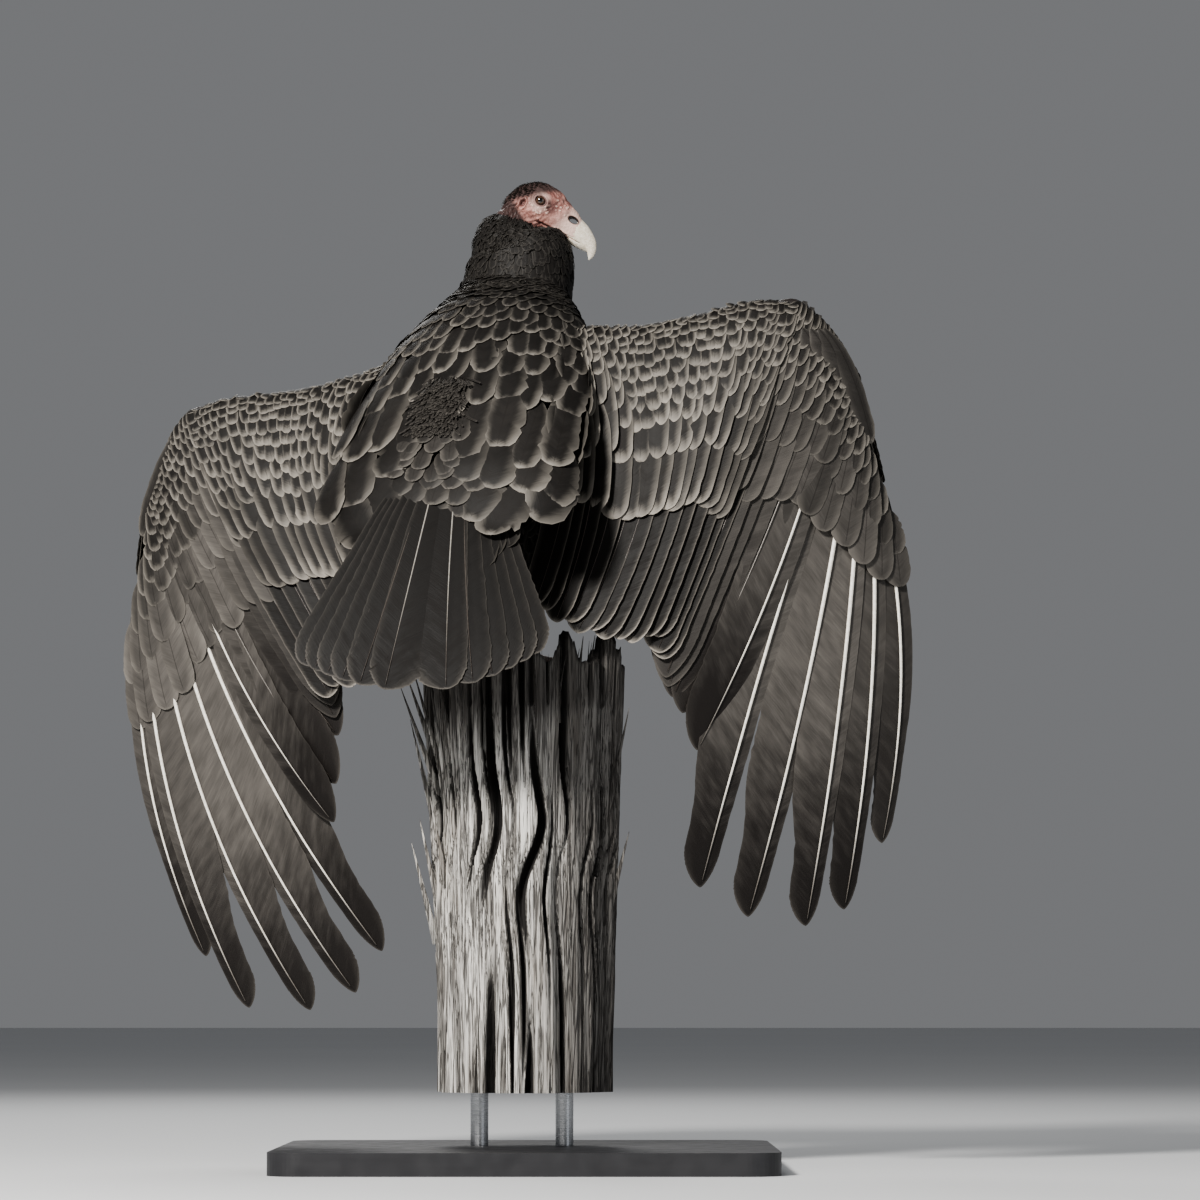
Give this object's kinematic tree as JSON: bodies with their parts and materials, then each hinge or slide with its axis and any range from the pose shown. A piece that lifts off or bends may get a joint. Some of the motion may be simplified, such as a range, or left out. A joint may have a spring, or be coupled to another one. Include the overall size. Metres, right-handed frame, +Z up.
{
  "type": "turkey vulture model on a perch and stand",
  "caption": "Still, life-size turkey vulture sunning itself with spread, drooping wings, gripping a cut length of dead trunk held on a plain display stand.",
  "frame": {"origin": "middle of the underside of the stand's base, which rests on the floor", "axes": "+Z up, +Y the way the bird faces (its body is turned 18 degrees from it towards +X), +X to the bird's right"},
  "size_m": [0.7248, 0.4165, 0.9056],
  "materials": {
    "plumage": "blackish-brown feathers with paler edges",
    "quills": "grey-brown flight feathers with ivory shafts",
    "skin": "bare wrinkled red skin",
    "horn": "ivory horn",
    "eye": "wet dark brown eye",
    "shank": "scaled pinkish grey skin",
    "claw": "dark horn",
    "wood": "weathered silver-grey dead wood",
    "base": "satin black painted board",
    "rod": "brushed"
  },
  "bodies": {
    "root": {"head": "skin", "bill_upper": "horn", "bill_lower": "horn", "eye_left": "eye", "eye_right": "eye", "neck": "plumage", "torso": "plumage", "tail": "quills", "wing_left_arm": "plumage", "wing_left_hand": "quills", "wing_right_arm": "plumage", "wing_right_hand": "quills", "thigh_left": "plumage", "thigh_right": "plumage", "shank_left": "shank", "shank_right": "shank", "foot_left": "shank", "foot_right": "shank", "claw_left_1": "claw", "claw_left_2": "claw", "claw_left_3": "claw", "claw_left_4": "claw", "claw_right_1": "claw", "claw_right_2": "claw", "claw_right_3": "claw", "claw_right_4": "claw", "perch": "wood", "stand_base": "base", "stand_rod_left": "rod", "stand_rod_right": "rod"}
  },
  "joints": []
}
